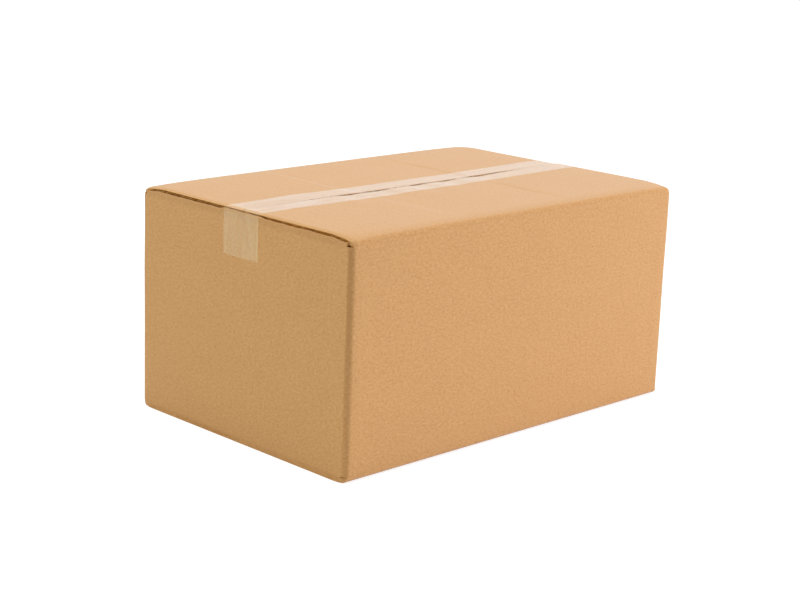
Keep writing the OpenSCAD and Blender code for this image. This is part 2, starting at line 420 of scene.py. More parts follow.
def fold_flaps(bead, flush):
    """The same for the flaps, and how far each point lies in from its panel's face: point = panel's corner
    + along * its direction + inward * distance - depth. The normal turns from inward to straight down."""
    corner, direction, inward = (
        np.array([np.pad(np.array(PANELS[ORDER[k]][i], float), (0, 1)) for k in np.maximum(owner, 0)])
        for i in range(3)
    )
    is_outer = np.isin(owner, [ORDER.index(name) for name in LONG_PANELS])
    sections = outer_section(), inner_section(slot_turn, bead)
    outer_line, inner_line = (
        np.where(is_outer[:, None], sections[0][i][:, None], sections[1][i][:, None]) for i in range(2)
    )
    turn = np.where(is_outer, sections[0][2][:, None], sections[1][2][:, None])

    length = np.array([PANELS[ORDER[max(k, 0)]][3] for k in owner])
    from_edge = np.minimum(along, length - along) - EDGE_INSET
    side = np.where(along < length / 2, -1, 1) * is_outer
    outward = side * FLUSH_SHIFT * flush * np.clip(1 - from_edge / FLUSH_RUN, 0, 1)
    outward = outward * np.clip(outer_line[..., 0] / FOLD_R, 0, 1)

    base = corner + (along + outward)[..., None] * direction
    outer, inner = (
        base + line[..., :1] * inward + (BOX_H - line[..., 1:]) * Z for line in (outer_line, inner_line)
    )
    normal = np.cos(turn)[..., None] * inward - np.sin(turn)[..., None] * Z
    upward = np.sin(turn)[..., None] * inward + np.cos(turn)[..., None] * Z
    return (outer, inner, normal, upward), outer_line[..., 0] + PAST_FACE


print("columns on outer flaps:", int(np.isin(owner, [ORDER.index(name) for name in LONG_PANELS]).sum()))

# %% Whole folded sheet
def fold_half(bead, flush):
    """Ring and flaps of one half, upper side up, and how far each point lies in from its panel's face."""
    flaps, flap_reach = fold_flaps(bead, flush)
    whole = [np.concatenate(pair) for pair in zip(fold_ring(), flaps)]
    return whole + [np.concatenate([np.zeros((ring_rows, len(owner))), flap_reach])]


def turned_over(outer, inner, normal, upward, flap_reach):
    """Mirror image below the middle, with its rows from the bottom up and without the shared middle row."""
    mirror = np.array([1, 1, -1.0])
    outer, inner = (v * mirror + BOX_H * Z for v in (outer, inner))
    return [v[:0:-1] for v in (outer, inner, normal * mirror, -upward * mirror, flap_reach)]


lower_half = turned_over(*fold_half(LOWER_BEAD, flush=1))
upper_half = fold_half(UPPER_BEAD, flush=0)
outer_face, inner_face, into, up_blank, reach = (
    np.concatenate([below, above]) for below, above in zip(lower_half, upper_half)
)

# The glue lap gets narrower towards its free edge.
lap_share = np.where(part == ORDER.index("lap"), (along - FOLD_R) / LAP_W, 0)
shrink = 1 - lap_share * LAP_TAPER / (LAP_TOP - BOX_H / 2)
for face in (outer_face, inner_face):
    face[..., 2] = BOX_H / 2 + (face[..., 2] - BOX_H / 2) * shrink
print("grid of the whole blank:", outer_face.shape[:2])

# %% Which cells of the grid are board
def blank_cells():
    """Ring cells everywhere, lap cells only over the lap's height, and flap cells where both columns
    stand on the same flap."""
    level = np.abs(np.arange(len(outer_face)) - len(outer_face) // 2)
    in_ring = level < ring_rows
    in_lap = level < LAP_ROWS
    on_flap = ~(in_ring[1:] & in_ring[:-1])
    lap_row = in_lap[1:] & in_lap[:-1]
    same_owner = (owner[1:] == owner[:-1]) & (owner[1:] != NO_FLAP)
    lap_cell = np.maximum(part[1:], part[:-1]) > ORDER.index("back")
    ring_cells = ~on_flap[:, None] & (~lap_cell | lap_row[:, None])
    return ring_cells | (on_flap[:, None] & same_owner)


cells = blank_cells()
print("cells of board:", int(cells.sum()))

# %% [markdown]
# ## Wear and handling
#
# A real box is never quite flat. The panels swell and sink by tenths of a millimetre, the top sinks
# between the inner flaps that carry it, its corners are pressed down, and the two outer flaps don't meet
# in a straight line: one lies a little lower in places, and the cut between them is ragged. A Displace
# modifier could move the faces, but it would move each along its own normal. Here both faces get the same
# move, a smooth function of the place, so the sheet keeps its thickness. The sums of waves have fixed
# directions and phases, so every run is the same.

# %% Waves and smooth ramps
def waves(a, b, seed, lengths, height):
    """Sum of plane waves over two coordinates: each has its own wave length, direction and phase."""
    random = np.random.default_rng(seed)
    total = np.zeros(np.broadcast(a, b).shape)
    for length in lengths:
        heading, phase = random.uniform(0, 2 * math.pi, 2)
        total += np.sin(2 * math.pi * (a * math.cos(heading) + b * math.sin(heading)) / length + phase)
    return height * total / len(lengths)


def smooth_step(value, start, end):
    """0 up to the start, 1 from the end, and a smooth ramp between them."""
    share = np.clip((value - start) / (end - start), 0, 1)
    return share * share * (3 - 2 * share)


print("a quarter up the ramp it is at", float(smooth_step(0.25, 0, 1)))

# %% Shape of the top and of the seam
SAG = 0.22                         # how far the top sinks between the inner flaps
SAG_RAMP, SAG_EDGE = 5.0, 30       # over what width it sinks, beside those flaps and beside the folds
INNER_END = HALF_L - INNER_REACH   # where the inner flaps end, from the middle
SEAM_STEP = 0.65                   # how much lower the front flap's free edge lies in places
STEP_SHARE, STEP_WAVE = 0.45, 1.3  # share of that depth on average, and how much it changes along the seam
STEP_END, STEP_WIDTH = 64, 26      # how far the step reaches along the seam, and how wide it is
SEAM_MEAN, SEAM_TIGHTER = -0.1, 0.3    # mean shift of the free edges, and how much less it is at the ends
SEAM_TAPER = (55, 90)              # where along the seam it changes
LEAST_GAP = 0.05                   # what a free edge keeps from the middle of the box
CORNER_DIP = 0.9                   # how far the top's corners are pressed down
DIP_REACH = 14.0                   # how the dip fades from the end panels
DIP_START, DIP_RUN = 3.5, 12.0     # and from the folds


def top_height(x, y):
    """Height of the outer flaps' faces on top: the box's height, less a sag where no inner flap carries
    them, plus a slow swell, less the front flap's step at the seam."""
    carried = smooth_step(np.abs(x) + waves(y, x * 0, 3, (40, 90), 1.0), INNER_END - SAG_RAMP, INNER_END)
    edge = smooth_step(HALF_W - np.abs(y), 0, SAG_EDGE)
    in_places = np.clip(STEP_SHARE + waves(x, x * 0, 71, (5, 9, 14, 23), STEP_WAVE), 0, 1)
    step = SEAM_STEP * in_places * np.exp(-((x / STEP_END) ** 4)) * (1 - smooth_step(-y, 0, STEP_WIDTH))
    swell = waves(x, y, 5, (55, 83, 120), 0.12) * edge
    return BOX_H - SAG * (1 - carried) * edge + swell - np.where(y < 0, step, 0)


def seam_shift(x, side):
    """How far a free edge stands back from its usual place: a mean that falls towards the seam's ends, plus
    slow and ragged waves, but never past the middle of the box."""
    mean = SEAM_MEAN - SEAM_TIGHTER * smooth_step(np.abs(x), *SEAM_TAPER)
    slow = waves(x, x * 0, 11 + side, (7, 11, 17, 31, 60), 0.5)
    ragged = waves(x, x * 0, 81 + side, (2.9, 3.7, 5.2), 0.65)
    return np.maximum(mean + (slow + ragged), LEAST_GAP - (HALF_W - OUTER_REACH))


def top_dip(x, y):
    """How far the top is pressed down at a corner: most at the end panel and towards the fold."""
    beside_end = np.exp(-np.clip(HALF_L - np.abs(x), 0, None) / DIP_REACH)
    return CORNER_DIP * beside_end * (1 - smooth_step(HALF_W - np.abs(y), DIP_START, DIP_START + DIP_RUN))


seam_x = np.linspace(-HALF_L, HALF_L, 400)
half_gap = HALF_W - OUTER_REACH + seam_shift(seam_x, 0).mean()
print("from the front flap's edge to the middle of the box in mm:", round(float(half_gap), 2))

# %% Move the top, its corners and the seam
DIP_FROM, DIP_TO = 6.5, 2.6        # depths below the top from which the corners begin to dip and dip fully
LOWER_MEET = 0.45                  # how far the lower outer flaps stand forward, so that they meet

x, y, z = np.moveaxis(outer_face, -1, 0)
upper = z > BOX_H / 2
is_outer_flap = (reach > 0) & np.isin(owner, [ORDER.index(name) for name in LONG_PANELS])
top_flap = is_outer_flap & upper
panel_length = np.array([PANELS[ORDER[int(k)]][3] for k in np.floor(np.where(owner >= 0, owner, part))])

move = np.zeros_like(outer_face)
move[..., 2] += np.where(top_flap, (top_height(x, y) - BOX_H) * smooth_step(reach, 0, FLAT_START), 0)
move[..., 2] -= top_dip(x, y) * smooth_step(z, BOX_H - DIP_FROM, BOX_H - DIP_TO)
shift = np.where(y < 0, seam_shift(x, 0), seam_shift(x, 1))
shift = np.where(upper, shift, -LOWER_MEET)
free_share = smooth_step(reach, FLAT_START, OUTER_REACH)
move[..., 1] += np.where(is_outer_flap, np.sign(y) * shift * free_share, 0)
print("the top sinks by up to", round(float(-move[..., 2].min()), 2), "mm")

# %% Swelling panels, and bulges beside the upright creases
SWELL, SWELL_FADE = 0.16, 18       # how far the panels swell and sink, and over what height this begins
CREASE_BULGE, CREASE_AT, CREASE_WIDTH = 0.14, 6.5, 2.4     # the bulge's height, place and width

fold_fade = smooth_step(np.minimum(z, BOX_H - z), INNER_FOLD, INNER_FOLD + SWELL_FADE)
swell = waves(blank_s[None, :], z, 21, (47, 70, 110, 160), SWELL)
from_corner = np.where(part == np.floor(part), np.minimum(along, panel_length - along), 0)
bulge = CREASE_BULGE * np.exp(-(((from_corner - CREASE_AT) / CREASE_WIDTH) ** 2))
ring_only = np.where(reach > 0, 0, 1)
move -= ((swell + bulge[None, :]) * fold_fade * ring_only)[..., None] * into
outer_face, inner_face = outer_face + move, inner_face + move
print("largest move in mm:", round(float(np.abs(move).max()), 2))

# %% Bead of the crushed crease, and the pressed side edges
BEAD_REACH = 1.3                   # how far in from its panel's face the bead reaches
BEAD_WAVE = 0.4                    # how uneven the crushed inner creases are
BEAD_LIFT = 0.15                   # how much higher they stand all along
BEAD_GAP, GAP_AT, GAP_RUN = 0.3, 34.0, 20.0    # how much lower they lie at the back, where, and how far
TAPED_BEAD = 1.0                   # how much higher they stand under the tape, which pulls the flaps down
BEAD_RAMP = (0.5, 4.0)             # from the tape's edge, where that height begins to fade and has faded
FRONT_SLOPE, FRONT_OFFSET = 0.7, 4.2           # they stretch the ramp in front of the tape

is_inner_flap = np.isin(owner, (ORDER.index("left"), ORDER.index("right")))
on_bead = (reach > 0) & (reach < BEAD_REACH) & is_inner_flap & upper
uneven = waves(y, x * 0, 61, (6, 8.5, 13, 29), BEAD_WAVE)
stretched_y = np.where(y < 0, FRONT_SLOPE * -y + FRONT_OFFSET, y)
beside_tape = smooth_step(stretched_y, *(TAPE_W / 2 + v for v in BEAD_RAMP))
lower_there = BEAD_GAP * np.exp(-(((y - GAP_AT) / GAP_RUN) ** 2))
uneven += TAPED_BEAD * (1 - beside_tape) + (BEAD_LIFT - lower_there) * beside_tape
outer_face[..., 2] += np.where(on_bead, uneven * reach / BEAD_REACH, 0)

# The slotting knife has pressed down the outer liner at the outer flaps' side edges.
side_distance = np.minimum(along - EDGE_INSET, panel_length - EDGE_INSET - along)
pressed = PRESSED * np.clip(1 - side_distance / PRESSED_RUN, 0, 1)
pressed = np.where(top_flap, pressed[None, :], 0)
outer_face = outer_face + pressed[..., None] * into
print("points on the beads:", int(on_bead.sum()), "and on pressed edges:", int((pressed > 0).sum()))

# %% [markdown]
# ## The cut edges
#
# Where the board is cut, the wavy paper shows between the liners. The wall that closes the sheet gets eight
# lines between the faces: four follow the liners and four follow the wavy paper. Two lines on either side
# of a paper's edge lie close together. One stays in the cut, the other is pushed into the board, and so
# the hollows of the flutes open. Across the flutes this draws the familiar wave. Along them the paper stays
# at one height, which leaves one wide dark groove or two narrow ones, as the photograph shows. Below, where
# the box is pushed about, the side edges are rubbed and nearly shut.

# %% Height of the wavy paper, and the way into the board
MIDDLE = BOARD / 2
SWING = (BOARD - 2 * LINER - FLUTING) / 2      # how far the wavy paper swings from the middle
PHASES = {"front": 0.1, "back": 1.75, "left": 0.6, "right": 0.3, "lap": 0.0}


def paper_height():
    """Depth of the wavy paper below the outer face: the middle plus the swing times the cosine of the place
    along the panel, with a slow drift where the edge runs along a flute."""
    phase = np.array([PHASES[ORDER[int(k)]] for k in np.where(owner >= 0, owner, np.floor(part))])
    start = np.where(owner == ORDER.index("front"), BOX_L - EDGE_INSET, EDGE_INSET)
    wave = np.cos(2 * math.pi * (along - start) / PITCH + phase)
    drift = waves(reach, reach * 0 + blank_s[None, :] * 0.02, 31, (23, 47), 0.12)
    return np.clip(MIDDLE + SWING * wave[None, :] + drift, MIDDLE - SWING, MIDDLE + SWING)


def edge_push(cells, shape):
    """For each grid point on an edge the direction into the board: the mean over its two edges."""
    start, end, inward = boundary_edges(cells)
    push = np.zeros((shape[0] * shape[1], 2))
    for point in (start, end):
        np.add.at(push, point, inward / 2)
    return push.reshape(*shape, 2)


rows, cols = cells.shape[0] + 1, cells.shape[1] + 1
push = edge_push(cells, (rows, cols))
across_flutes = np.abs(push[..., 1])
along_flutes = np.abs(push[..., 0])
into_board = push[..., :1] * np.cross(up_blank, into) + push[..., 1:] * up_blank
print("grid points on cut edges:", int((across_flutes + along_flutes > 0).sum()))

# %% Depth of the hollows
DEPTH_ACROSS, DEPTH_ALONG = 4.0, 1.8           # depth of the hollows across and along the flutes
SHALLOW = 0.3          # share of it on the inner flaps' edges, and where two edges meet
RUBBED = 0.1           # share of it along the side edges of the lower outer flaps
CRUSHED_RUN = (1.0, 4.0)       # past the fold's radius, where crushed flutes begin to open and are open

side_edge = is_outer_flap & (along_flutes > 0)
hollow_depth = DEPTH_ACROSS * np.where(is_outer_flap, 1.0, SHALLOW) * across_flutes
hollow_depth += DEPTH_ALONG * along_flutes
hollow_depth *= np.where((across_flutes > 0) & (along_flutes > 0), SHALLOW, 1.0)
hollow_depth *= np.where(side_edge & ~top_flap, RUBBED, 1.0)
crushed = 1 - smooth_step(reach, *(FOLD_R + v for v in CRUSHED_RUN))
hollow_depth *= np.where(side_edge, 1 - crushed, 1.0)
ragged = waves(blank_s[None, :], reach * 1.7 + z, 41, (3.1, 4.7, 7.9), 0.12)
print("deepest hollow in mm:", round(float(hollow_depth.max()), 2))

# %% Carton from ten layers of points
STEP = 0.03            # distance between the two lines at a paper's edge
FULLY_OPEN = 0.25      # a hollow that is higher than this has its full depth

paper = paper_height()
paper_top, paper_bottom = paper - FLUTING / 2, paper + FLUTING / 2
above = np.clip((paper_top - LINER) / FULLY_OPEN, 0, 1)
below = np.clip((BOARD - LINER - paper - FLUTING / 2) / FULLY_OPEN, 0, 1)
zero = np.zeros_like(paper)
edge_lines = [
    (zero, 0),
    (zero + LINER, 0),
    (np.minimum(LINER + STEP, paper_top), above),
    (np.maximum(paper_top - STEP, LINER), above),
    (paper_top, 0),
    (paper_bottom, 0),
    (np.minimum(paper_bottom + STEP, BOARD - LINER), below),
    (np.maximum(BOARD - LINER - STEP, paper_bottom), below),
    (zero + BOARD - LINER, 0),
    (zero + BOARD, 0),
]


def board_layers():
    """Ten layers of points: outer face + share * (inner face - outer face) + push * hollow depth."""
    layers = []
    for depth, opened in edge_lines:
        inside = np.clip(hollow_depth * opened + (ragged if np.ndim(opened) else 0), 0, None)
        across_board = (depth / BOARD)[..., None] * (inner_face - outer_face)
        layers.append(outer_face + across_board + inside[..., None] * into_board)
    return np.stack(layers)


points, quads, used = closed_sheet(board_layers(), cells)
carton = mesh_object("carton_board", points, quads, sharp_angle=38)
print("carton:", len(points), "points and", 2 * len(quads), "triangles")

# %% [markdown]
# ## What the material has to know about the sheet
#
# Paper has a direction. Its fibres lie along the blank, across the flutes. So the carton carries the
# blank's own coordinates as a UV map, in metres, and numbers that say where shade is painted along its
# creases and where it is cut.

# %% Blank coordinates as a UV map
blank_v = np.cumsum(np.pad(np.linalg.norm(np.diff(outer_face[:, cols // 2], axis=0), axis=1), (1, 0)))
blank_uv = np.stack(np.broadcast_arrays(blank_s[None, :] * MM, blank_v[:, None] * MM), -1)
per_layer = np.stack([(blank_uv + (depth * MM)[..., None]).reshape(-1, 2) for depth, _ in edge_lines])
add_map(carton, "blank", per_layer[used])
print("way up the blank along one column in mm:", round(float(blank_v[-1]), 1))

# %% Painted crease shade as an attribute
FLAP_CREASE_SHADE = 0.16     # how dark the painted shade in the flaps' creases is
BEAD_SHADE = 0.38     # painted shade on the bead that stands up under the outer flaps' edges
BEAD_SHADE_AT = 0.12    # how far in from its panel's face the bead has that painted shade
UPRIGHT = 1e-3         # board that is less tilted than this counts as upright
UPRIGHT_CREASE_SHADE = (0.18, 0.30, 0.45)        # how dark the painted shade of the upright creases is, paler further down
CREASE_HEIGHTS = (0, 0.3 * BOX_H, BOX_H)   # the heights of those three values
CREASE_RAMP = (-2.2, 1.2)  # from the fold's middle towards the end panel, where the painted shade of such a crease gets darker
CREASE_END = 2.7       # where it ends, in a sharp line
CREASE_LINE = 0.5      # width of that line


def from_upright_folds():
    """Distance along the blank from the nearest upright fold's middle, positive towards the end panel.
    A fold's number lies half way between the numbers of its two panels."""
    nearest = np.full(len(part), np.inf)
    for k in (0.5, 1.5, 2.5, 3.5):
        towards_end = 1 if k in (1.5, 3.5) else -1
        offset = (blank_s - blank_s[part == k].mean()) * towards_end
        nearest = np.where(np.abs(offset) < np.abs(nearest), offset, nearest)
    return nearest


# Painted shade: the flaps' folds and the bead under the outer flaps' edges are darkened in colour where
# shade falls, and the upright corners get a band of painted shade over the lamps' own shading.
tilt = np.abs(into[..., 2])
turned = np.arccos(np.clip(tilt, 0, 1))
flap_fold_shade = FLAP_CREASE_SHADE * np.clip(np.sin(2 * turned), 0, 1) * (tilt > UPRIGHT) * upper
flap_fold_shade = np.maximum(flap_fold_shade, np.where(on_bead, BEAD_SHADE * smooth_step(reach, 0, BEAD_SHADE_AT), 0))
from_fold = from_upright_folds()
creased = smooth_step(from_fold, *CREASE_RAMP)
creased = creased * (1 - smooth_step(from_fold, CREASE_END - CREASE_LINE, CREASE_END))
strength = np.interp(z, CREASE_HEIGHTS, UPRIGHT_CREASE_SHADE)
crease = np.maximum(flap_fold_shade, creased[None, :] * strength * ring_only)
add_values(carton, "crease", np.stack([crease.ravel()] * len(edge_lines))[used])
print("darkest crease:", round(float(crease.max()), 2))

# %% Cut edges as an attribute, and the carton's place in the frame
CRUSHED_CUT = 0.8      # how much less raw a cut edge looks where the crease has crushed it
LOWER_CUT = 0.0        # how raw the lower cut edges look: they are rubbed and dusty

cut_share = np.where(side_edge, 1 - CRUSHED_CUT * crushed, 1.0)
cut_share = np.where(z < BOX_H / 2, LOWER_CUT, cut_share).ravel()
inner_layers = np.zeros(used.shape)
inner_layers[1:-1] = cut_share
add_values(carton, "cut", inner_layers[used])
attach(carton, "root")
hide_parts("carton")
print("attributes:", [a.name for a in carton.data.attributes if not a.name.startswith(".")])

# %% [markdown]
# ## The tape
#
# The tape is a thin film that follows what it sticks to: the top over the seam, the pressed edge of the
# flaps, the bead of the inner fold, and the end panel. Its line is drawn once in a section and carried
# across the width. Near the left end the film was laid with small lengthwise wrinkles, and elsewhere on
# top it hardly stands off. The dispenser's blade has left teeth at both ends. A Shrinkwrap modifier could
# lay a strip on the box, but it would follow every hollow, and real film spans them.

# %% The tape's line
FOLD_LANDING = -3.9    # height below the top at which the tape leaves the end panel for the bead
OVER_BEAD = ((0.04, -2.4), (0.2, -1.55), (0.6, -0.95))     # its way over the bead: inward place and height
TAIL_POINTS, TAIL_STEP = 6, 3      # corners of the line on the end panel, and their distance
TOP_STARTS = (6, 12)               # corners on top near the end panel, from its face
FAR_START, FAR_POINTS = 20, 10     # corners from there to the middle


def rounded_path(corners, spacing):
    """Smooth line through the corners, by Catmull-Rom curves: each stretch is a cubic whose slope at a
    corner follows the line between the corner's two neighbours."""
    p = np.concatenate([[2 * corners[0] - corners[1]], corners, [2 * corners[-1] - corners[-2]]])
    pieces = []
    for k in range(len(corners) - 1):
        count = max(2, round(float(np.linalg.norm(p[k + 2] - p[k + 1])) / spacing))
        t = np.linspace(0, 1, count, endpoint=False)[:, None]
        a, b, c, d = p[k : k + 4]
        square, cube = a - 2.5 * b + 2 * c - d / 2, 1.5 * b - 1.5 * c + (d - a) / 2
        pieces.append(b + t * (c - a) / 2 + t**2 * square + t**3 * cube)
    return np.concatenate(pieces + [corners[-1:]])


def tape_section():
    """Half of the tape's line in x and height above the top, from the left tail's end to the middle."""
    tail = [(-HALF_L, -TAPE_TAIL + TAIL_STEP * k) for k in range(TAIL_POINTS)]
    over_bead = [(-HALF_L + inward, height) for inward, height in OVER_BEAD]
    bend = [(-HALF_L, FOLD_LANDING)] + over_bead + [(-HALF_L + EDGE_INSET, -PRESSED)]
    top = [(-HALF_L + EDGE_INSET + PRESSED_RUN + 0.1, 0.0)]
    top += [(-HALF_L + start, 0.0) for start in TOP_STARTS]
    far = [(v, 0.0) for v in np.linspace(-HALF_L + FAR_START, 0, FAR_POINTS)]
    end_to_edge = rounded_path(np.array(tail + bend), 0.5)
    edge_to_middle = rounded_path(np.array(bend[-1:] + top + far), 0.6)
    return np.concatenate([end_to_edge, edge_to_middle[1:]])


half_line = tape_section()
line = np.concatenate([half_line, (half_line * (-1, 1))[-2::-1]])
run = np.cumsum(np.pad(np.linalg.norm(np.diff(line, axis=0), axis=1), (1, 0)))[:, None]
print("places along the tape:", len(line), "and its length in mm:", round(float(run[-1, 0]), 1))

# %% The tape on the box
TAPE_COLUMNS = 27              # across its width
BESIDE_SEAM = (-0.3, 0.3)      # two more, close to the middle
NEARLY = 0.05                  # so that the line's own corner still counts as on top


def panel_swell(height):
    """How far the left end panel stands out at the tape, read from the carton's own outer face."""
    column = int(np.argmin(np.where(part == ORDER.index("left"), np.abs(along - HALF_W), np.inf)))
    ring = reach[:, column] == 0
    stands_out = -HALF_L - outer_face[ring, column, 0]
    return np.interp(height, outer_face[ring, column, 2], stands_out, left=0, right=0)


across = np.sort(np.append(np.linspace(-TAPE_W / 2, TAPE_W / 2, TAPE_COLUMNS), BESIDE_SEAM))
line_x, line_z = (np.repeat(line[:, k : k + 1], len(across), 1) for k in (0, 1))
line_y = np.broadcast_to(across, line_x.shape).copy()
on_end = np.abs(line_x) > HALF_L - PAST_FACE
on_top = np.abs(line_x) < HALF_L - EDGE_INSET - PRESSED_RUN + NEARLY
tape_z = BOX_H + line_z + np.where(on_end, 0, top_height(line_x, line_y) - BOX_H)
tape_x = line_x + np.sign(line_x) * np.where(on_end, panel_swell(tape_z), 0)

# The outward direction is the line's own slope in the middle of the tape, turned by a right angle.
in_middle = len(across) // 2
slope = np.gradient(np.stack([tape_x[:, in_middle], tape_z[:, in_middle]], -1), axis=0)
slope /= np.linalg.norm(slope, axis=1, keepdims=True)
tape_out = np.stack([-slope[:, 1], 0 * slope[:, 0], slope[:, 0]], -1)[:, None, :]
print("heights of the tape in mm:", round(float(tape_z.min()), 1), "to", round(float(tape_z.max()), 1))

# %% Wrinkles and teeth of the tape, and its mesh
TAPE_GAP = 0.03        # so that film and board don't share a surface
WRINKLE, REST = 0.35, 0.12         # height of the wrinkles, and of the film elsewhere on top
WRINKLES_BEGIN, WRINKLES_END = 12, (55, 90)    # past the bend, where wrinkles are full, fade and are gone
LOOSE_LIFT = 0.22      # height from which the film has clearly come off the board
CUT_TOOTH, TOOTH_WIDTH = 0.35, 1.3     # height and width of the teeth that the blade leaves
TOOTH_RUN = 3          # how far from the end the points are moved for them

# The waves are long along the tape and short across it, so the wrinkles lie lengthwise.
wrinkles_end = 1 - smooth_step(run, *(TAPE_TAIL + v for v in WRINKLES_END))
wrinkle_place = smooth_step(run, TAPE_TAIL, TAPE_TAIL + WRINKLES_BEGIN) * wrinkles_end
lengthwise = waves(line_y * 5 + run * 0.12, run * 0.25, 51, (9, 13, 21), WRINKLE)
wrinkle = np.maximum(lengthwise, 0) * wrinkle_place
rest = np.maximum(waves(line_y * 3, run * 0.6, 53, (31, 47, 75), REST), 0)
lift = TAPE_GAP + wrinkle + rest * on_top
tooth = np.abs((line_y / TOOTH_WIDTH) % 1 - 0.5) * 2 * CUT_TOOTH
end_share = 1 - smooth_step(np.minimum(run, run[-1] - run), 0, TOOTH_RUN)

tape_inner = np.stack([tape_x, line_y, tape_z + tooth * end_share], -1) + lift[..., None] * tape_out
tape_outer = tape_inner + TAPE_T * tape_out
tape_cells = np.ones((len(line) - 1, len(across) - 1), bool)
points, quads, used = closed_sheet(np.stack([tape_outer, tape_inner]), tape_cells)
tape = mesh_object("tape_strip", points, quads, sharp_angle=60)
print("tape:", len(points), "points and", 2 * len(quads), "triangles")

# %% The tape's own coordinates, its loose places and its place in the frame
tape_uv = np.stack([line_y * MM, np.broadcast_to(run, line_y.shape) * MM], -1).reshape(-1, 2)
add_map(tape, "strip", np.stack([tape_uv, tape_uv])[used])
loose = np.clip(wrinkle / LOOSE_LIFT, 0, 1).ravel()
add_values(tape, "loose", np.stack([loose, loose])[used])
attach(tape, "root")
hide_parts("top_tape")
print("share of the film that stands off clearly:", round(float((loose > 0.5).mean()), 3))

# %% [markdown]
# ## The finish of kraft paper
#
# Unbleached liner is brown and nearly matt. Close by it isn't one colour: fibres lie in one direction, the
# pulp is cloudy, and dark flecks are scattered in it. The fluting behind it shows as faint upright waves.
# A picture of paper could be laid on, but it would repeat or blur close by. So noises make it, in a node
# group on the blank's coordinates, and the pattern turns with each panel and each flap as the real sheet
# does.

# %% Node helpers
def node(tree, kind, inputs=(), **settings):
    """New node with its settings, and with values or links put into its inputs by name or number."""
    made = tree.nodes.new(kind)
    for key, value in settings.items():
        setattr(made, key, value)
    for key, value in dict(inputs).items():
        if isinstance(value, bpy.types.NodeSocket):
            tree.links.new(value, made.inputs[key])
        else:
            made.inputs[key].default_value = value
    return made


def maths(tree, operation, *values):
    """Result of one operation on one or two values."""
    return node(tree, "ShaderNodeMath", dict(enumerate(values)), operation=operation).outputs[0]


def product(tree, first, *others):
    """All values multiplied with one another."""
    for other in others:
        first = maths(tree, "MULTIPLY", first, other)
    return first


def mix_colour(tree, share, first, second):
    """First colour at share 0 and second colour at share 1."""
    return node(tree, "ShaderNodeMix", {0: share, 6: first, 7: second}, data_type="RGBA").outputs[2]


def mix_surface(tree, share, first, second):
    """First shader at share 0 and second shader at share 1."""
    return node(tree, "ShaderNodeMixShader", {0: share, 1: first, 2: second}).outputs[0]


def span(tree, value, from_low, from_high, to_low, to_high):
    """Straight ramp from one range of values to another, which stops at its ends."""
    inputs = {0: value, 1: from_low, 2: from_high, 3: to_low, 4: to_high}
    return node(tree, "ShaderNodeMapRange", inputs).outputs[0]


def attribute(tree, name):
    """Numbers that a mesh carries for each of its points."""
    return node(tree, "ShaderNodeAttribute", attribute_name=name).outputs["Fac"]


def stretched_noise(tree, vector, scale, detail, stretch=(1, 1, 1), roughness=0.55, distortion=0.0):
    """Noise with so many cells per metre, fewer along an axis whose stretch is below 1."""
    place = node(tree, "ShaderNodeMapping", {"Vector": vector, "Scale": stretch}).outputs[0]
    inputs = {"Vector": place, "Scale": scale, "Detail": detail, "Roughness": roughness}
    return node(tree, "ShaderNodeTexNoise", {**inputs, "Distortion": distortion}).outputs[0]


print("node helpers ready")

# %% Node group for the paper's fibres, clouds, flecks and waves
def paper_group():
    """Values of the paper over the blank. Fibres: thin curled ridges, where a distorted noise crosses its
    middle value, over a fine noise. Cloud: slow noise. Flecks: the few spots where a fine noise is highest.
    Waves: a sine with the flutes' pitch, stronger and weaker from place to place."""
    group = bpy.data.node_groups.new("kraft_paper", "ShaderNodeTree")
    group.interface.new_socket("Vector", in_out="INPUT", socket_type="NodeSocketVector")
    group.interface.new_socket("Pitch", in_out="INPUT", socket_type="NodeSocketFloat")
    for name in ("Fibres", "Cloud", "Flecks", "Waves"):
        group.interface.new_socket(name, in_out="OUTPUT", socket_type="NodeSocketFloat")
    start = group.nodes.new("NodeGroupInput")
    end = group.nodes.new("NodeGroupOutput")
    vector, pitch = start.outputs["Vector"], start.outputs["Pitch"]

    grain = stretched_noise(group, vector, 850, 3, stretch=(0.75, 1.2, 1), roughness=0.6)
    curled = stretched_noise(group, vector, 330, 2, stretch=(0.7, 1.2, 1), distortion=1.6)
    from_ridge = maths(group, "ABSOLUTE", maths(group, "SUBTRACT", curled, 0.5))
    ridge = span(group, from_ridge, 0.0, 0.09, 1.0, 0.0)
    fibres = maths(group, "ADD", product(group, grain, 0.9), product(group, ridge, 0.08))
    cloud = stretched_noise(group, vector, 60, 4, stretch=(0.8, 1.0, 1), roughness=0.6)
    fleck_noise = stretched_noise(group, vector, 640, 1, stretch=(0.8, 1.1, 1))
    flecks = span(group, fleck_noise, 0.735, 0.79, 0, 1)
    along_blank = node(group, "ShaderNodeSeparateXYZ", {0: vector}).outputs[0]
    flutes = maths(group, "DIVIDE", along_blank, pitch)
    wave = maths(group, "SINE", product(group, flutes, 2 * math.pi))
    waves_here = product(group, wave, stretched_noise(group, vector, 28, 1))
    for name, value in (("Fibres", fibres), ("Cloud", cloud), ("Flecks", flecks), ("Waves", waves_here)):
        group.links.new(value, end.inputs[name])
    return group


paper_values = paper_group()
print("outputs of the group:", [s.name for s in paper_values.interface.items_tree if s.in_out == "OUTPUT"])

# %% Material of the board
LIGHT_FIBRE, DARK_FIBRE = (0.747, 0.439, 0.189, 1), (0.606, 0.302, 0.094, 1)
CLOUD_BROWN, CLOUD_SHARE = (0.3, 0.14, 0.05, 1), 0.045
FLECK_BROWN, FLECK_SHARE = (0.20, 0.09, 0.035, 1), 0.4
# Brown of the painted shade in the creases.
CREASE_SHADE_BROWN = (0.33, 0.15, 0.05, 1)
RAW_DARK, RAW_LIGHT = (0.60, 0.30, 0.06, 1), (0.82, 0.52, 0.20, 1)
FIBRE_HEIGHT, WAVE_HEIGHT = 0.000008, 0.000025     # of the fibres and the flutes' waves, in metres


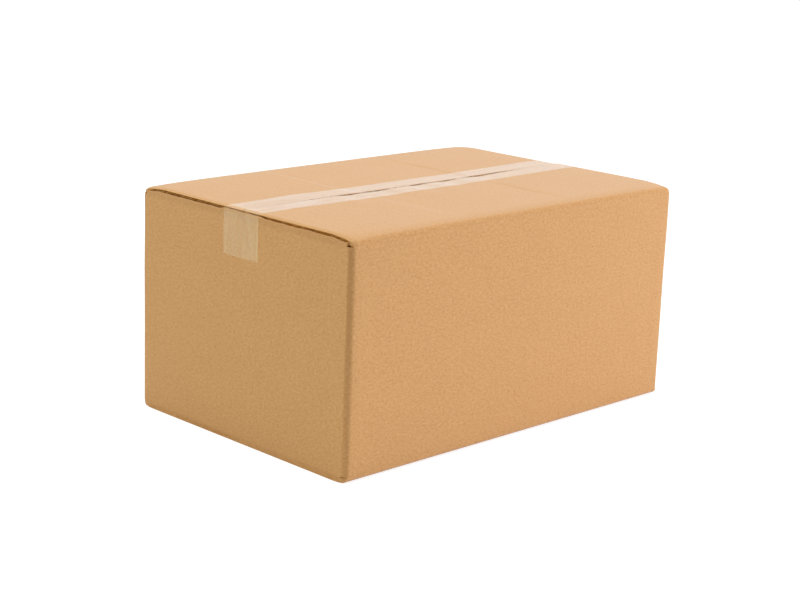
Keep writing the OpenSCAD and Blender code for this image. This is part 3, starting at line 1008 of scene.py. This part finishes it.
def liner_colour(tree, paper):
    """Brown of the fibres, slightly darker where the pulp is thin, dark in the flecks, with painted shade
    in the creases.
    """
    fibres = span(tree, paper.outputs["Fibres"], 0.28, 0.72, 0, 1)
    colour = mix_colour(tree, fibres, DARK_FIBRE, LIGHT_FIBRE)
    cloud = span(tree, paper.outputs["Cloud"], 0.3, 0.7, 0, 1)
    colour = mix_colour(tree, cloud, mix_colour(tree, CLOUD_SHARE, colour, CLOUD_BROWN), colour)
    colour = mix_colour(tree, product(tree, paper.outputs["Flecks"], FLECK_SHARE), colour, FLECK_BROWN)
    # Painted shade in the creases.
    return mix_colour(tree, attribute(tree, "crease"), colour, CREASE_SHADE_BROWN)


def liner_relief(tree, paper):
    """Normals of the liner: fine fibres, and over them the slow waves of the flutes."""
    fibres = {"Height": paper.outputs["Fibres"], "Distance": FIBRE_HEIGHT, "Strength": 0.8}
    fibre_bump = node(tree, "ShaderNodeBump", fibres).outputs[0]
    flutes = {"Height": paper.outputs["Waves"], "Distance": WAVE_HEIGHT, "Normal": fibre_bump}
    return node(tree, "ShaderNodeBump", flutes).outputs[0]


def kraft_material():
    """Brown liner with painted shade in the creases, and torn fibres of a raw and stronger brown in the cut
    edges.
    """
    material = bpy.data.materials.new("kraft_board")
    material.use_nodes = True
    tree = material.node_tree
    shader = tree.nodes["Principled BSDF"]
    blank = node(tree, "ShaderNodeUVMap", uv_map="blank").outputs[0]
    paper = node(tree, "ShaderNodeGroup", {"Vector": blank, "Pitch": PITCH * MM}, node_tree=paper_values)
    tree.links.new(liner_colour(tree, paper), shader.inputs["Base Color"])
    tree.links.new(span(tree, paper.outputs["Fibres"], 0.3, 0.75, 0.50, 0.62), shader.inputs["Roughness"])
    tree.links.new(liner_relief(tree, paper), shader.inputs["Normal"])
    shader.inputs["Specular IOR Level"].default_value = 0.25
    shader.inputs["Sheen Weight"].default_value = 0.3
    shader.inputs["Sheen Roughness"].default_value = 0.35

    torn = span(tree, stretched_noise(tree, blank, 330, 2, roughness=0.6), 0.42, 0.62, 0, 1)
    raw_colour = mix_colour(tree, torn, RAW_DARK, RAW_LIGHT)
    raw = node(tree, "ShaderNodeBsdfDiffuse", {"Color": raw_colour}).outputs[0]
    surface = mix_surface(tree, attribute(tree, "cut"), shader.outputs[0], raw)
    tree.links.new(surface, tree.nodes["Material Output"].inputs["Surface"])
    return material


carton.data.materials.append(kraft_material())
print("material:", carton.data.materials[0].name)

# %% [markdown]
# ## The finish of clear tape
#
# The film is clear with a little milky haze from its adhesive. What shows it most is its gloss: seen at a
# low angle, as on top, it mirrors the pale surroundings and looks whitish, and on the end panel, seen
# nearly straight, it almost vanishes. So the material is transparent, mixed with a thin milky share, and
# over both a glossy layer whose share follows Fresnel's law. Only the film's outer side has it.
#
# The haze lies in streaks and patches and is paler along the rims. Where the film bends over the flaps'
# edge it is drawn tight, and there it shows least. Along the seam its reflection is painted weaker, with
# breaks, so that a darker line shows there, and where it has come off the board or was laid unevenly it
# mirrors a little more or less. The haze lets the lamps' light through, so the board below isn't shaded.

# %% Places on the tape, and its haze
WHITE = (1, 1, 1, 1)
MILK = (1.0, 0.90, 0.50, 1)
FRONT_RIM = (1.1, 0.4, 0.08)   # where a rim begins and is whole, from its edge, and its haze
BACK_RIM = (0.8, 0.3, 0.03)
END_RIM = (0.9, 0.3, 0.03)
BEND_AT, BEND_RAMP = TAPE_TAIL - 0.4, (0.8, 1.8)   # where the bend is, and how the film changes beside it
HAZE_FADE = (TAPE_TAIL + 2, TAPE_TAIL + 9)         # where on top the haze fades
HAZE_LEFT = 0.15                                   # share of it that stays there and on the bend


def ramp(tree, value, start, end, first, last):
    """Ramp over distances that are given in millimetres."""
    return span(tree, value, start * MM, end * MM, first, last)


def from_tape_end(tree, along_tape):
    """Distance from the nearer end: half of the length less the distance from the middle."""
    half = float(run[-1, 0]) / 2 * MM
    return maths(tree, "SUBTRACT", half, maths(tree, "ABSOLUTE", maths(tree, "SUBTRACT", along_tape, half)))


def beside_bend(tree, from_end):
    """0 where the film bends over the flaps' edge, and 1 elsewhere."""
    distance = maths(tree, "ABSOLUTE", maths(tree, "SUBTRACT", from_end, BEND_AT * MM))
    return ramp(tree, distance, *BEND_RAMP, 0.0, 1.0)


def haze_share(tree, strip, streaks, across_tape, from_end):
    """Haze of streaks, patches and rims, less on the bend and on top, and none for shadow rays."""
    patches = stretched_noise(tree, strip, 95, 2, stretch=(1.0, 0.6, 1))
    front = ramp(tree, across_tape, FRONT_RIM[0] - TAPE_W / 2, FRONT_RIM[1] - TAPE_W / 2, 0.0, FRONT_RIM[2])
    back = ramp(tree, across_tape, TAPE_W / 2 - BACK_RIM[0], TAPE_W / 2 - BACK_RIM[1], 0.0, BACK_RIM[2])
    ends = ramp(tree, from_end, END_RIM[0], END_RIM[1], 0.0, END_RIM[2])
    rim = maths(tree, "MAXIMUM", front, maths(tree, "MAXIMUM", back, ends))
    streaked, patched = span(tree, streaks, 0.33, 0.70, 0.02, 0.12), span(tree, patches, 0.4, 0.7, 0, 0.06)
    haze = maths(tree, "ADD", maths(tree, "ADD", streaked, patched), rim)
    on_bend = span(tree, beside_bend(tree, from_end), 0.0, 1.0, HAZE_LEFT, 1.0)
    on_top_side = ramp(tree, from_end, *HAZE_FADE, 1.0, HAZE_LEFT)
    lit = node(tree, "ShaderNodeLightPath").outputs["Is Shadow Ray"]
    return product(tree, haze, on_bend, on_top_side, maths(tree, "SUBTRACT", 1.0, lit))


print("the haze fades on top from", HAZE_FADE[0], "to", HAZE_FADE[1], "mm from the tape's end")

# %% Mirroring layer and material of the tape
SEAM_LINE_RAMP = (0.2, 0.7)     # how far from its middle the reflection is painted weaker along the seam
SEAM_LINE_ENDS = (20.0, 42.0)   # how far from the end panels that painted line begins and is whole
LAID_FADE = (8, 48)        # past the left bend, where the streaks of uneven laying fade
FILM_IOR = 1.48


def painted_seam_line(tree, strip, across_tape, from_end):
    """Painted line of weaker reflection along the seam, so that it shows darker: along its middle with
    breaks, none near the ends.
    """
    from_middle = maths(tree, "ABSOLUTE", across_tape)
    in_seam = ramp(tree, from_middle, *SEAM_LINE_RAMP, 0.95, 0.0)
    breaks = span(tree, stretched_noise(tree, strip, 330, 2, stretch=(0.0, 1.0, 0.0)), 0.44, 0.56, 0.0, 1.0)
    past_ends = ramp(tree, from_end, *(TAPE_TAIL + v for v in SEAM_LINE_ENDS), 0.0, 1.0)
    return product(tree, past_ends, product(tree, in_seam, breaks))


def mirror_share(tree, strip, across_tape, along_tape, from_end):
    """Fresnel's share on the outer side, painted weaker over the seam to draw a darker line, less on the
    bend, more where the film is loose, and uneven in lengthwise streaks near the left end."""
    outer_side = maths(tree, "SUBTRACT", 1.0, node(tree, "ShaderNodeNewGeometry").outputs["Backfacing"])
    # Painted darker line: the reflection is left out along the seam.
    off_seam_line = maths(tree, "SUBTRACT", 1.0, painted_seam_line(tree, strip, across_tape, from_end))
    lifted = span(tree, attribute(tree, "loose"), 0.0, 1.0, 1.02, 1.3)
    laid = span(tree, stretched_noise(tree, strip, 330, 2, stretch=(1.0, 0.07, 1)), 0.36, 0.64, -0.22, 0.12)
    near_left = ramp(tree, along_tape, *(TAPE_TAIL + v for v in LAID_FADE), 1.0, 0.0)
    streaked = maths(tree, "ADD", 1.0, product(tree, laid, near_left))
    on_bend = span(tree, beside_bend(tree, from_end), 0.0, 1.0, 0.5, 1.0)
    fresnel = node(tree, "ShaderNodeFresnel", {"IOR": FILM_IOR}).outputs[0]
    return product(tree, fresnel, product(tree, outer_side, off_seam_line, lifted, streaked, on_bend))


def tape_material():
    """Transparent film with streaks of haze, under a glossy layer mixed in by Fresnel."""
    material = bpy.data.materials.new("clear_tape")
    material.use_nodes = True
    tree = material.node_tree
    tree.nodes.remove(tree.nodes["Principled BSDF"])
    strip = node(tree, "ShaderNodeUVMap", uv_map="strip").outputs[0]
    streaks = stretched_noise(tree, strip, 520, 3, stretch=(1.0, 0.17, 1))
    place = node(tree, "ShaderNodeSeparateXYZ", {0: strip})
    across_tape, along_tape = place.outputs[0], place.outputs[1]
    from_end = from_tape_end(tree, along_tape)

    haze = haze_share(tree, strip, streaks, across_tape, from_end)
    clear = node(tree, "ShaderNodeBsdfTransparent", {"Color": WHITE}).outputs[0]
    milk = node(tree, "ShaderNodeBsdfDiffuse", {"Color": MILK}).outputs[0]
    film = mix_surface(tree, haze, clear, milk)
    roughness = span(tree, streaks, 0.3, 0.7, 0.16, 0.26)
    gloss = node(tree, "ShaderNodeBsdfAnisotropic", {"Color": WHITE, "Roughness": roughness}).outputs[0]
    mirror = mirror_share(tree, strip, across_tape, along_tape, from_end)
    surface = mix_surface(tree, mirror, film, gloss)
    tree.links.new(surface, tree.nodes["Material Output"].inputs["Surface"])
    return material


tape.data.materials.append(tape_material())
print("material:", tape.data.materials[0].name)

# %% [markdown]
# ## Floor, surroundings and light
#
# The picture is taken on white. For the camera and for reflections the floor and the surroundings are
# plain white, and the floor keeps a soft shadow. Seen from below the floor is clear, so that the bottom
# can be looked at. A picture of a studio could light the box from all around, but its shadows couldn't be
# placed one by one. So there are three lamps: a small low one near the front right, which isn't seen in
# reflections because it would glare in the tape, a large one far to the left, and a large one above.
# Where the two side lamps both graze the rounded corner, it gets the darker band that the photograph
# shows.

# %% Floor
FLOOR_HALF = 6000.0
FLOOR_Z = -0.05        # just under the box, so that floor and box don't share a plane


def seen_directly(tree):
    """1 for rays from the camera, and for mirrored and refracted ones, 0 for the light that bounces."""
    path = node(tree, "ShaderNodeLightPath")
    seen = maths(tree, "MAXIMUM", path.outputs["Is Camera Ray"], path.outputs["Is Glossy Ray"])
    return maths(tree, "MAXIMUM", seen, path.outputs["Is Transmission Ray"])


def floor_material():
    """Pale floor for bouncing light. As seen, it glows nearly white by itself, plus a part that takes
    shadow."""
    material = bpy.data.materials.new("floor")
    material.use_nodes = True
    tree = material.node_tree
    tree.nodes.remove(tree.nodes["Principled BSDF"])
    bounce = node(tree, "ShaderNodeBsdfDiffuse", {"Color": (0.80, 0.80, 0.78, 1)}).outputs[0]
    glow = node(tree, "ShaderNodeEmission", {"Color": WHITE, "Strength": 0.85}).outputs[0]
    shade = node(tree, "ShaderNodeBsdfDiffuse", {"Color": (0.36, 0.36, 0.36, 1)}).outputs[0]
    seen = node(tree, "ShaderNodeAddShader", {0: glow, 1: shade}).outputs[0]
    from_above = mix_surface(tree, seen_directly(tree), bounce, seen)
    clear = node(tree, "ShaderNodeBsdfTransparent", {"Color": WHITE}).outputs[0]
    from_below = node(tree, "ShaderNodeNewGeometry").outputs["Backfacing"]
    surface = mix_surface(tree, from_below, from_above, clear)
    tree.links.new(surface, tree.nodes["Material Output"].inputs["Surface"])
    return material


floor_corners = FLOOR_HALF * np.array([(-1, -1, 0), (1, -1, 0), (1, 1, 0), (-1, 1, 0)])
floor = mesh_object("floor", floor_corners + FLOOR_Z * Z, np.array([[0, 1, 2, 3]]), sharp_angle=30)
floor.data.materials.append(floor_material())
print("floor in metres:", 2 * FLOOR_HALF * MM)

# %% World
AMBIENT = 0.42         # strength of the surroundings for the light that bounces

world = bpy.data.worlds.new("surroundings")
bpy.context.scene.world = world
world.use_nodes = True
world_tree = world.node_tree
soft = world_tree.nodes["Background"]
soft.inputs["Color"].default_value = WHITE
soft.inputs["Strength"].default_value = AMBIENT
white = node(world_tree, "ShaderNodeBackground", {"Color": WHITE, "Strength": 1.0}).outputs[0]
both = mix_surface(world_tree, seen_directly(world_tree), soft.outputs[0], white)
world_tree.links.new(both, world_tree.nodes["World Output"].inputs["Surface"])
print("ambient light:", AMBIENT)

# %% Lamps
LAMP_AIM = Vector((0, 0, 0.06))


def soft_lamp(name, at, power, size, colour=(1, 1, 1)):
    """Square lamp at a place in metres that faces the box."""
    data = bpy.data.lights.new(name, "AREA")
    data.energy, data.size, data.color = power, size, colour
    lamp = bpy.data.objects.new(name, data)
    lamp.location = at
    lamp.rotation_euler = (LAMP_AIM - Vector(at)).to_track_quat("-Z", "Y").to_euler()
    bpy.context.scene.collection.objects.link(lamp)
    return lamp


right_lamp = soft_lamp("right_lamp", (0.85, -0.85, 0.18), 8.6, 0.35, colour=(0.79, 0.79, 1.0))
right_lamp.visible_glossy = False
soft_lamp("left_lamp", (-1.9, 0.9, 0.7), 8.5, 1.1, colour=(0.95, 1.0, 0.75))
soft_lamp("top_lamp", (0.1, 0.1, 2.3), 33, 1.6)
view_settings = bpy.context.scene.view_settings
view_settings.view_transform = "Standard"
